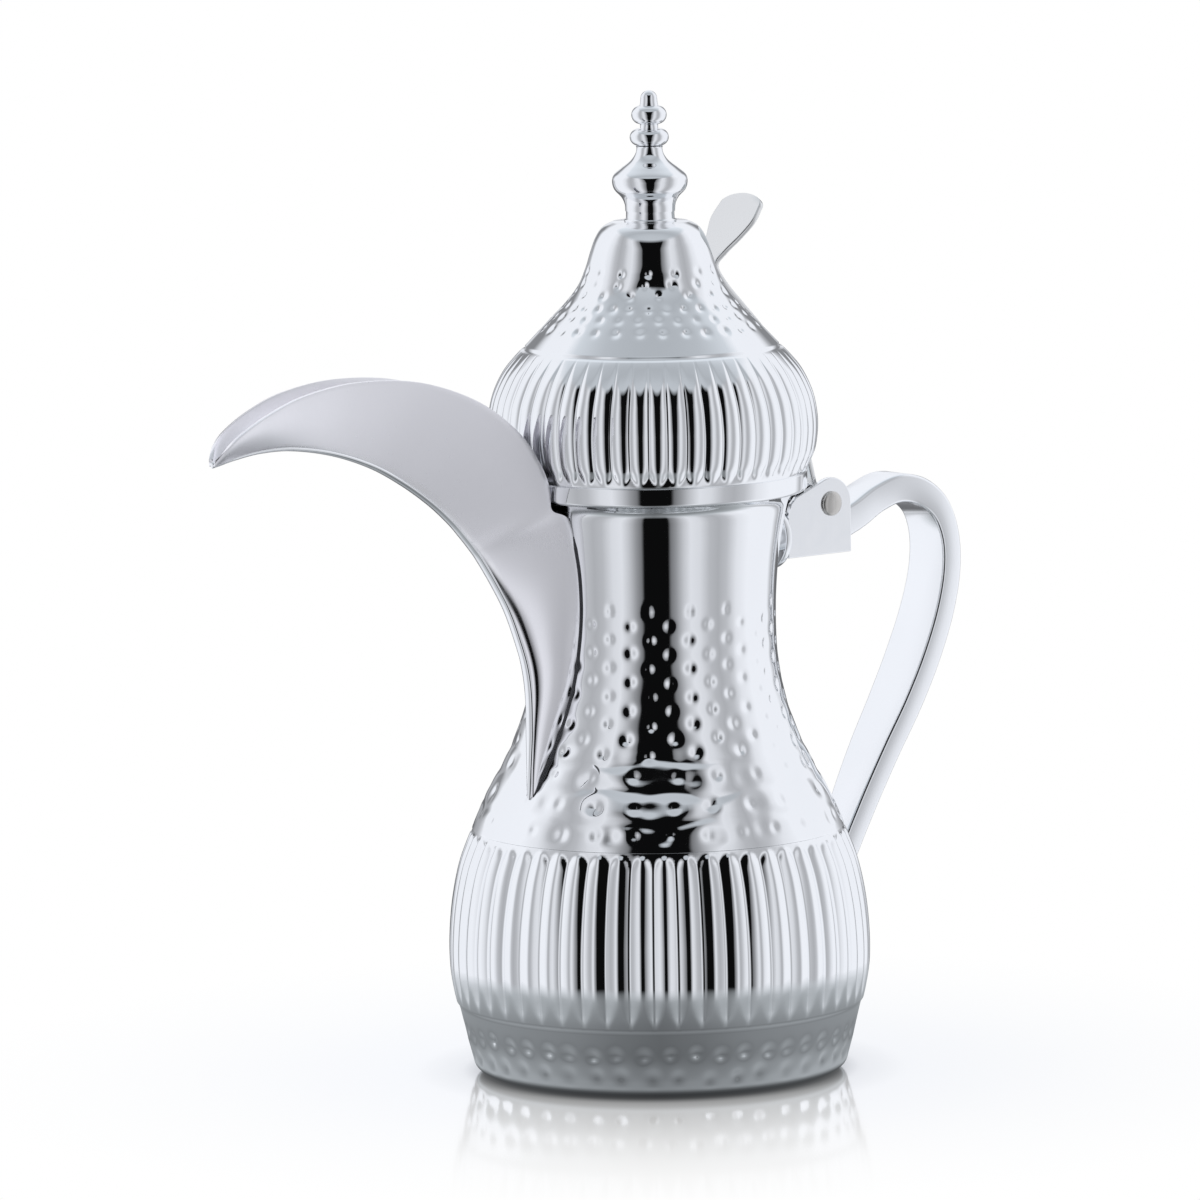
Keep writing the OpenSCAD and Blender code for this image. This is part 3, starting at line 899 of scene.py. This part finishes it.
def build_bracket():
    """The folded hinge bracket: two round-topped ears joined by three webs."""
    near = lowest("hinge_bracket")
    wall, back_top, front_top = 1.8, 165.6, 167
    half, inside = -near.y, -near.y - wall
    ear = [(near.x, near.z), (BRACKET_END, near.z)]
    ear += arc(PIN.x, PIN.z, BRACKET_END - PIN.x, 0, 117, 13)
    ear += [(50.4, 171.6), (48.4, 169.6), (near.x, 166)]
    back, front, floor = BRACKET_END - wall, near.x + wall, near.z + wall
    # Above its two end walls the pocket runs out past the ears, so that only they are left.
    pocket = [(front, floor), (back, floor), (back, back_top), (80, back_top), (80, 190), (40, 190),
              (40, front_top), (front, front_top)]
    bm = carved(plate(ear, -half, half), plate(pocket, -inside, inside))
    bmesh.ops.dissolve_limit(bm, angle_limit=0.01, verts=bm.verts, edges=bm.edges)
    soften(bm, 0.3)
    make_piece(bm, "bracket_sheet", cast_steel(), "pot", ["hinge_bracket"], flat=4)


def build_leaf():
    """The leaf that carries the lid on the rivet: a barrel, a sloping strip and a tab."""
    half, bore_r = 5.5, 2.25
    weld = RING_R - 0.8
    shape = arc(PIN.x, PIN.z, BARREL_R, 150, 450, 30)
    shape += [(60.4, 173.6), (51, 179), (48.3, 180.8), (48.3, 183), (weld, 183), (weld, 178.2),
              (48.6, 178.2)]
    bore = bmesh.new()
    bmesh.ops.create_cone(bore, cap_ends=True, segments=40, radius1=bore_r * MM,
                          radius2=bore_r * MM, depth=30 * MM, matrix=side_turn(PIN.x, PIN.z))
    bm = carved(plate(shape, -half, half), bore)
    soften(bm, 0.2)
    make_piece(bm, "leaf_strip", mirror_steel(), "lid", ["hinge_leaf"], flat=4)


# ---------------------------------------------------------------- lid

def build_lid_sheet(relief):
    """The lid: a fluted bulb, a hammered cone and a smooth bell under the finial."""
    outline = Outline(BULB + CONE[1:])
    shoulder = 222.0
    lip_depth, rib_share, hole_r, crown_r = 0.35, 0.72, 2.5, 10.8
    marks = Dents([
        (228.2, 29, 1.4, 0.52), (231.7, 30, 1.15, 0.4), (234.8, 30, 1.15, 0.46),
        (238.6, 16, 1.15, 0.5), (241.7, 16, 1.15, 0.5), (245.2, 15, 1.1, 0.46),
    ], seed=5, wander=0.22)

    def pitch(z):
        if z > 248:
            return 0.8
        return 0.5 if z > shoulder - 2 or z < BULB_Z + 6 else 1.0

    def surface(angle, z, radius, upright):
        lip = lip_depth * ease(z, shoulder - 1.3, shoulder - 0.7)
        lip *= 1 - ease(z, shoulder - 0.3, shoulder)
        flute = 0.0
        if BULB_Z + 0.8 < z < shoulder - 0.8:
            flute = rib_share * fluted(angle, z, relief, (BULB_Z + 0.6, 6.0, True),
                                       (shoulder - 0.8, 12.0, False), 2.2)
        return lip + flute + (marks.at(angle, z, radius, upright) if z > shoulder + 1 else 0.0)

    top = [(hole_r, LID_TOP), (hole_r, LID_TOP - SHEET), (crown_r, LID_TOP - SHEET)]
    heights = [256, 252, 247, 242, 237, 232, 227, 222, 216, 210, 204, 197, 190, 186]
    inside = []
    for z in heights:
        radius, radial, upward = outline.at(z)
        inside.append((radius - SHEET * radial, z - SHEET * upward))
    inside.append((BULB[0][0] - SHEET, BULB_Z))
    bm = spun(outline.spaced(pitch) + top + inside, relief.flutes * 12,
              start=relief.flute_phase, sectors=relief.flutes)
    press(bm, outline, surface, BULB_Z + 0.5, 250)
    make_piece(bm, "lid_sheet", mirror_steel(), "lid", ["lid_shell"], crease=40)


def build_lid_ring():
    """The plain rim ring under the bulb, with a rolled lower edge."""
    r, low, high = RING_R, 0.0, BULB_Z - RING_Z
    inner = PAN_R + 1.4
    roll = [(r - 1.2 + 1.2 * math.sin(math.radians(a)), 1.2 - 1.2 * math.cos(math.radians(a)))
            for a in range(0, 91, 10)]
    top = [(r - 0.3 + 0.3 * math.cos(math.radians(a)), high - 0.3 + 0.3 * math.sin(math.radians(a)))
           for a in range(0, 91, 15)]
    section = [(inner, low)] + roll + top
    section += [(r - 1.4, high), (r - 1.4, 1.8), (r - 1.8, 1.4), (inner, 1.4)]
    bm = spun([(x, z + RING_Z) for x, z in section], 240)
    make_piece(bm, "rim_ring", mirror_steel(), "lid", ["lid_ring"])


def lever_row(share):
    """x, z and half-width of the lever at a share of its length."""
    body, tip_length, tip_half = 0.86, 4.1, 0.35
    if share < body:
        return along(LEVER, share / body)
    x, z, plate_half = LEVER[-1]
    x0, z0, _ = LEVER[-2]
    way = Vector((x - x0, z - z0)).normalized()
    angle = (share - body) / (1 - body) * math.pi / 2
    reach = tip_length * math.sin(angle)
    return x + way.x * reach, z + way.y * reach, max(tip_half, plate_half * math.cos(angle))


def lever_place(share, u):
    """A point of the bent strap."""
    x, z, half = lever_row(share)
    ahead = lever_row(min(1, share + 0.004))
    behind = lever_row(max(0, share - 0.004))
    way = Vector((ahead[0] - behind[0], 0, ahead[1] - behind[1])).normalized()
    out = Vector((way.z, 0, -way.x))
    a, b = rounded_section(u, LEVER_T / 2, half, min(0.45, half * 0.9))
    return Vector((x, 0, z)) + out * a + Vector((0, b, 0))


def build_lever():
    """The thumb lever: a strap bent clear of the lid that widens into an oval plate."""
    bm = bent_grid(190, SECTION_STEPS, lever_place, capped=True)
    make_piece(bm, "lever_strap", shaded_lever_steel(), "lid", ["thumb_lever"], crease=50)


def disc_bead(low, radius, tall):
    """The round edge of a flat bead on the finial."""
    half = tall / 2
    points = []
    for k in range(15):
        a = math.radians(-84 + 12 * k)
        points.append((radius - half + half * math.cos(a), low + half + half * math.sin(a)))
    return points


def build_finial():
    """The turned finial with its foot, body, two beads and domed tip."""
    foot = [(2.5, LID_TOP), (7.8, LID_TOP), (8, LID_TOP + 0.2), (8, 259.9), (7.85, 260.1),
            (7.35, 260.4), (7.3, 262.2)]
    bore = [(0, LID_TOP + 12), (2.5, LID_TOP + 12)]
    tip = [(2.5 * math.cos(math.radians(a)), 296.6 + 2.4 * math.sin(math.radians(a)))
           for a in range(0, 91, 10)]
    stem = [(2.7, 287.6), (2.7, 288.6)]
    neck = [(2.75, 294.6), (2.6, 295.4)]
    points = bore + foot + smoothed(FINIAL_BODY, 8) + disc_bead(282.3, 5.9, 5.1) + stem
    points += disc_bead(288.8, 5.35, 5.6) + neck + tip
    bm = spun(points, 96, closed=False)
    make_piece(bm, "finial_turning", mirror_steel(), "lid", ["finial"], crease=45)


# ---------------------------------------------------------------- stage

def stage_material(name, surface):
    """A material whose shader is what surface(tree) builds."""
    material = bpy.data.materials.new(name)
    material.use_nodes = True
    tree = material.node_tree
    tree.nodes.clear()
    output = add(tree, "ShaderNodeOutputMaterial")
    tree.links.new(surface(tree), output.inputs["Surface"])
    return material


def radial_distance(tree):
    """The distance from the pot's axis, as a share of half a metre."""
    place = add(tree, "ShaderNodeTexCoord")
    flat = add(tree, "ShaderNodeVectorMath", operation="MULTIPLY")
    flat.inputs[1].default_value = (2, 2, 0)
    tree.links.new(place.outputs["Object"], flat.inputs[0])
    length = add(tree, "ShaderNodeVectorMath", operation="LENGTH")
    tree.links.new(flat.outputs["Vector"], length.inputs[0])
    return length.outputs["Value"]


def floor_surface(tree):
    """White acrylic: bright, with a painted contact shadow round the base and a reflection that fades
    away from the base. Clear from below.
    """
    distance = radial_distance(tree)
    white_with_painted_shadow = add(tree, "ShaderNodeEmission")
    # Painted contact shadow: the floor's white glow darkens to near black round the base.
    tone = ramp_node(tree, distance, [(0.098, 0.02), (0.108, 0.12), (0.122, 0.8), (0.15, 1.0)])
    tree.links.new(tone, white_with_painted_shadow.inputs["Color"])
    gloss = add(tree, "ShaderNodeBsdfGlossy")
    gloss.inputs["Roughness"].default_value = 0.09
    gloss.inputs["Color"].default_value = (0.97, 0.98, 1, 1)
    share = ramp_node(tree, distance, [(0.12, 0.62), (0.16, 0.5), (0.2, 0.4), (0.25, 0.27),
                                       (0.3, 0.17), (0.36, 0.08), (0.44, 0.0)])
    acrylic = mixed_shader(tree, share, white_with_painted_shadow.outputs["Emission"], gloss.outputs["BSDF"])
    clear = add(tree, "ShaderNodeBsdfTransparent")
    side = add(tree, "ShaderNodeNewGeometry")
    return mixed_shader(tree, side.outputs["Backfacing"], acrylic, clear.outputs["BSDF"])


def table_surface(tree):
    """Painted shade that the steel sees below it: a grey glow standing for the dimmer floor round the
    pot, with painted shadow darkest under the base and painted light brighter towards the sides.
    """
    distance = radial_distance(tree)
    glow = add(tree, "ShaderNodeEmission")
    # Painted shadow: the grey is darkest close round the base, where the pot shades the floor.
    near = ramp_node(tree, distance, [(0.112, 0.05), (0.122, 0.3), (0.136, 0.22), (0.16, 0.15),
                                      (0.205, 0.18), (0.26, 0.24), (0.34, 0.34)])
    # Painted light: the grey brightens towards the sides, away from the camera's line through the axis.
    place = add(tree, "ShaderNodeTexCoord")
    across = add(tree, "ShaderNodeVectorMath", operation="DOT_PRODUCT")
    turned = bpy.context.scene.dallah_stage.view_azimuth
    across.inputs[1].default_value = (-math.sin(turned), math.cos(turned), 0)
    tree.links.new(place.outputs["Object"], across.inputs[0])
    side = math_node(tree, "ABSOLUTE", across.outputs["Value"])
    sides = ramp_node(tree, math_node(tree, "MULTIPLY", side, 10.0),
                      [(0.0, 0.85), (0.25, 1.05), (0.5, 1.4), (0.9, 1.7)])
    tone = add(tree, "ShaderNodeVectorMath", operation="MULTIPLY")
    tree.links.new(near, tone.inputs[0])
    tree.links.new(sides, tone.inputs[1])
    cool = add(tree, "ShaderNodeVectorMath", operation="MULTIPLY")
    cool.inputs[1].default_value = (0.95, 1.01, 1.06)
    tree.links.new(tone.outputs["Vector"], cool.inputs[0])
    tree.links.new(cool.outputs["Vector"], glow.inputs["Color"])
    clear = add(tree, "ShaderNodeBsdfTransparent")
    fade = ramp_node(tree, distance, [(0.27, 0.0), (0.4, 1.0)])
    return mixed_shader(tree, fade, glow.outputs["Emission"], clear.outputs["BSDF"])


def plane(name, radius, height, material, segments=96):
    """A round level sheet about the pot's axis."""
    bm = bmesh.new()
    bmesh.ops.create_circle(bm, cap_ends=True, segments=segments, radius=radius,
                            matrix=Matrix.Translation((0, 0, height)))
    mesh = bpy.data.meshes.new(name)
    bm.to_mesh(mesh)
    bm.free()
    mesh.materials.append(material)
    sheet = bpy.data.objects.new(name, mesh)
    bpy.context.scene.collection.objects.link(sheet)
    return sheet


def build_floor(stage):
    """The pale floor, and the small table top that only the steel's reflections see."""
    floor = plane("floor", 30.0, -0.0001, stage_material("White floor with painted shadow", floor_surface))
    floor.visible_glossy = False
    table = plane("table_top", stage.table_radius, -0.0002,
                  stage_material("Table top with painted shade", table_surface))
    table.visible_camera = False
    table.visible_diffuse = False
    table.visible_shadow = False


def studio_colour(tree, direction, gap_shift):
    """The studio's colour by direction, as seen from the pot. The camera stands along +X."""
    signed = math_node(tree, "ARCTAN2", direction.outputs["Y"], direction.outputs["X"])
    aside = math_node(tree, "ABSOLUTE", math_node(tree, "ADD", signed, gap_shift))
    folded = math_node(tree, "DIVIDE", aside, math.pi)
    lift = math_node(tree, "ARCSINE", direction.outputs["Z"])
    horizon = 0.5
    height = math_node(tree, "ADD", math_node(tree, "DIVIDE", lift, math.pi), horizon)
    # The dark gap widens upwards.
    spread = degree_ramp(tree, height, [(0, 0), (32, 7 / 180), (46, 17 / 180)], horizon)
    azimuth = math_node(tree, "SUBTRACT", folded, spread)
    walls = degree_ramp(tree, azimuth, tinted([
        (0, 0.004), (11.5, 0.004), (14, 0.2), (19, 0.34), (26, 0.62), (33, 0.84), (42, 0.78),
        (52, 0.54), (61, 0.48), (70, 0.57), (82, 0.87), (96, 0.99), (180, 0.97)], (0.93, 0.95, 1.0)))
    # Dark strips far behind the pot, which draw its outline above and below the horizon.
    upper = degree_ramp(tree, folded, [
        (143, 1.0), (150, 0.55), (155, 0.28), (166, 0.28), (172, 0.9), (180, 1.0)])
    above = degree_ramp(tree, height, [(-3, 0.0), (4, 1.0), (20, 1.0), (30, 0.0)], horizon)
    edged = mixed_colour(tree, above, walls, upper, "MULTIPLY")
    rim = degree_ramp(tree, folded, [
        (132, 1.0), (141, 0.5), (147, 0.85), (152, 0.32), (160, 0.15), (172, 0.2), (180, 0.3)])
    below = degree_ramp(tree, height, [(-4, 1.0), (3, 0.0)], horizon)
    rimmed = mixed_colour(tree, below, edged, rim, "MULTIPLY")
    toward = math_node(tree, "ADD", math_node(tree, "MULTIPLY", direction.outputs["X"], 0.5), 0.5)
    roof = ramp_node(tree, toward, tinted([(c / 2 + 0.5, v) for c, v in [
        (-0.6, 0.88), (-0.25, 0.72), (0, 0.54), (0.2, 0.48), (0.45, 0.56), (0.75, 0.6)]],
        (0.93, 0.99, 1.06)))
    over = degree_ramp(tree, height, [(45, 0.0), (51, 1.0)], horizon)
    return mixed_colour(tree, over, rimmed, roof)


def build_world(stage):
    """The studio: two tall softboxes with a dark gap between them, paler sides and a top light."""
    world = bpy.data.worlds.new("Studio")
    bpy.context.scene.world = world
    world.use_nodes = True
    tree = world.node_tree
    tree.nodes.clear()
    place = add(tree, "ShaderNodeTexCoord")
    turn = add(tree, "ShaderNodeVectorRotate", rotation_type="Z_AXIS")
    turn.inputs["Angle"].default_value = -stage.view_azimuth
    tree.links.new(place.outputs["Generated"], turn.inputs["Vector"])
    direction = add(tree, "ShaderNodeSeparateXYZ")
    tree.links.new(turn.outputs["Vector"], direction.inputs["Vector"])
    studio = add(tree, "ShaderNodeBackground")
    studio.inputs["Strength"].default_value = stage.light_strength
    tree.links.new(studio_colour(tree, direction, stage.gap_shift), studio.inputs["Color"])
    paper = add(tree, "ShaderNodeBackground")
    paper.inputs["Color"].default_value = (1, 1, 1, 1)
    seen = add(tree, "ShaderNodeLightPath")
    either = mixed_shader(tree, seen.outputs["Is Camera Ray"], studio.outputs["Background"],
                          paper.outputs["Background"])
    output = add(tree, "ShaderNodeOutputWorld")
    tree.links.new(either, output.inputs["Surface"])


def build_camera(stage):
    """A long lens, a little above the lid's height, across the spout and the handle."""
    eye = Vector((-1.9187, -2.2866, 0.535))
    aim = Vector((-0.0128, 0.0108, 0.14414))
    ahead = (aim - eye).normalized()
    right = ahead.cross(Vector((0, 0, 1))).normalized()
    up = right.cross(ahead)
    roll = stage.camera_roll
    side = right * math.cos(roll) - up * math.sin(roll)
    top = up * math.cos(roll) + right * math.sin(roll)
    data = bpy.data.cameras.new("Camera")
    data.lens = stage.lens
    data.sensor_width = 36
    data.clip_end = 100
    camera = bpy.data.objects.new("Camera", data)
    camera.matrix_world = Matrix.Translation(eye) @ Matrix((side, top, -ahead)).transposed().to_4x4()
    bpy.context.scene.collection.objects.link(camera)
    bpy.context.scene.camera = camera


# ---------------------------------------------------------------- settings

class DallahRelief(bpy.types.PropertyGroup):
    """Flutes and hammer marks pressed into the sheet."""

    flutes: IntProperty(
        name="Flutes", description="Number of flutes round the belly and the lid",
        default=54, min=24, max=90)
    flute_depth: FloatProperty(
        name="Flute depth", description="Depth of a valley below the ribs beside it",
        default=1.0 * MM, min=0.0, max=1.1 * MM, precision=5, unit="LENGTH")
    flute_phase: FloatProperty(
        name="Flute start", description="Angle of the first valley from the handle's side",
        default=math.radians(1.733), subtype="ANGLE", unit="ROTATION")
    dent_depth: FloatProperty(
        name="Hammer mark depth", description="Depth of a hammer mark on the neck",
        default=0.45 * MM, min=0.0, max=0.9 * MM, precision=5, unit="LENGTH")


class DallahSteel(bpy.types.PropertyGroup):
    """Finishes of the steel."""

    mirror_tint: FloatVectorProperty(
        name="Mirror tint", description="Colour of the buffed sheet", subtype="COLOR", size=3,
        default=(0.93, 0.94, 0.955), min=0.0, max=1.0)
    mirror_roughness: FloatProperty(
        name="Mirror roughness", description="Blur of the buffed sheet", default=0.05, min=0.0, max=1.0)
    satin_tint: FloatVectorProperty(
        name="Satin tint", description="Colour of the brushed spout", subtype="COLOR", size=3,
        default=(0.965, 0.955, 0.985), min=0.0, max=1.0)
    satin_roughness: FloatProperty(
        name="Satin roughness", description="Blur of the brushed spout", default=0.3, min=0.0, max=1.0)
    cast_roughness: FloatProperty(
        name="Cast roughness", description="Blur of the handle, bracket and lever",
        default=0.16, min=0.0, max=1.0)


class DallahStage(bpy.types.PropertyGroup):
    """Floor, studio light and camera."""

    table_radius: FloatProperty(
        name="Table radius", description="Radius of the table top that the steel reflects",
        default=0.2, min=0.08, max=1.0, unit="LENGTH")
    view_azimuth: FloatProperty(
        name="View azimuth", description="Direction of the camera seen from the pot's axis",
        default=math.radians(230), subtype="ANGLE", unit="ROTATION")
    gap_shift: FloatProperty(
        name="Gap shift", description="Angle by which the dark gap stands aside from the camera",
        default=math.radians(-1.5), subtype="ANGLE", unit="ROTATION")
    light_strength: FloatProperty(
        name="Light strength", description="Brightness of the studio in the steel", default=1.0, min=0.0)
    camera_roll: FloatProperty(
        name="Camera roll", description="Tilt of the camera about its own axis",
        default=math.radians(0.775), subtype="ANGLE", unit="ROTATION")
    lens: FloatProperty(
        name="Lens", description="Focal length in millimetres", default=297.5, min=20.0, unit="CAMERA")


# ---------------------------------------------------------------- operators

class DALLAH_OT_belly(bpy.types.Operator):
    """Build the fluted belly and its hammered base band"""

    bl_idname = "dallah.belly"
    bl_label = "Belly"

    def execute(self, context):
        build_belly(context.scene.dallah_relief)
        return {"FINISHED"}


class DALLAH_OT_neck(bpy.types.Operator):
    """Build the hammered neck with its strainer"""

    bl_idname = "dallah.neck"
    bl_label = "Neck"

    def execute(self, context):
        build_neck(context.scene.dallah_relief)
        return {"FINISHED"}


class DALLAH_OT_spout(bpy.types.Operator):
    """Build the two halves of the spout and the keel strip"""

    bl_idname = "dallah.spout"
    bl_label = "Spout"

    def execute(self, context):
        build_spout_half("spout_left_sheet", "spout_left", 1)
        build_spout_half("spout_right_sheet", "spout_right", -1)
        build_keel()
        build_seam("seam_left_line", "spout_left", 1)
        build_seam("seam_right_line", "spout_right", -1)
        return {"FINISHED"}


class DALLAH_OT_handle(bpy.types.Operator):
    """Build the handle's bar"""

    bl_idname = "dallah.handle"
    bl_label = "Handle"

    def execute(self, context):
        build_handle()
        return {"FINISHED"}


class DALLAH_OT_hinge(bpy.types.Operator):
    """Build the bracket, the rivet, the disc and the lid's leaf"""

    bl_idname = "dallah.hinge"
    bl_label = "Hinge"

    def execute(self, context):
        build_bracket()
        build_rivet()
        build_flange()
        build_leaf()
        return {"FINISHED"}


class DALLAH_OT_lid(bpy.types.Operator):
    """Build the lid's sheet and its rim ring"""

    bl_idname = "dallah.lid"
    bl_label = "Lid"

    def execute(self, context):
        build_lid_sheet(context.scene.dallah_relief)
        build_lid_ring()
        return {"FINISHED"}


class DALLAH_OT_lever(bpy.types.Operator):
    """Build the thumb lever"""

    bl_idname = "dallah.lever"
    bl_label = "Thumb lever"

    def execute(self, context):
        build_lever()
        return {"FINISHED"}


class DALLAH_OT_finial(bpy.types.Operator):
    """Build the turned finial"""

    bl_idname = "dallah.finial"
    bl_label = "Finial"

    def execute(self, context):
        build_finial()
        return {"FINISHED"}


class DALLAH_OT_fittings(bpy.types.Operator):
    """Give the fittings that keep their CAD shape a steel finish"""

    bl_idname = "dallah.fittings"
    bl_label = "Hidden fittings"

    def execute(self, context):
        finishes = {
            "base_plate": inside_steel(), "boss_stem": mirror_steel(),
            "foot_flange": mirror_steel(), "lid_pan": inside_steel(),
            "finial_stud": inside_steel(), "finial_washer": inside_steel(),
            "finial_nut": inside_steel(),
        }
        for node, material in finishes.items():
            for place in frame["nodes"][node].material_slots:
                place.material = material
        return {"FINISHED"}


class DALLAH_OT_stage(bpy.types.Operator):
    """Build the floor, the studio light and the camera"""

    bl_idname = "dallah.stage"
    bl_label = "Stage"

    def execute(self, context):
        stage = context.scene.dallah_stage
        build_camera(stage)
        build_floor(stage)
        build_world(stage)
        context.scene.view_settings.view_transform = "Standard"
        context.scene.view_settings.look = "None"
        return {"FINISHED"}


class DALLAH_PT_panel(bpy.types.Panel):
    """Buttons that build the pot"""

    bl_idname = "DALLAH_PT_panel"
    bl_label = "Dallah"
    bl_space_type = "VIEW_3D"
    bl_region_type = "UI"
    bl_category = "Dallah"

    def draw(self, context):
        layout = self.layout
        for settings in (context.scene.dallah_relief, context.scene.dallah_steel,
                         context.scene.dallah_stage):
            box = layout.box()
            for name in settings.__annotations__:
                box.prop(settings, name)
        for operator in OPERATORS:
            layout.operator(operator.bl_idname)


SETTINGS = {"dallah_relief": DallahRelief, "dallah_steel": DallahSteel, "dallah_stage": DallahStage}
OPERATORS = [
    DALLAH_OT_stage, DALLAH_OT_belly, DALLAH_OT_neck, DALLAH_OT_spout, DALLAH_OT_handle,
    DALLAH_OT_hinge, DALLAH_OT_lid, DALLAH_OT_lever, DALLAH_OT_finial, DALLAH_OT_fittings,
]


def register():
    for group in SETTINGS.values():
        bpy.utils.register_class(group)
    for operator in OPERATORS:
        bpy.utils.register_class(operator)
    bpy.utils.register_class(DALLAH_PT_panel)
    for name, group in SETTINGS.items():
        setattr(bpy.types.Scene, name, PointerProperty(type=group))


def unregister():
    for name in SETTINGS:
        delattr(bpy.types.Scene, name)
    bpy.utils.unregister_class(DALLAH_PT_panel)
    for operator in reversed(OPERATORS):
        bpy.utils.unregister_class(operator)
    for group in reversed(list(SETTINGS.values())):
        bpy.utils.unregister_class(group)


def main():
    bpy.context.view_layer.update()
    register()
    for operator in OPERATORS:
        family, name = operator.bl_idname.split(".")
        getattr(getattr(bpy.ops, family), name)()


if __name__ == "__main__":
    main()
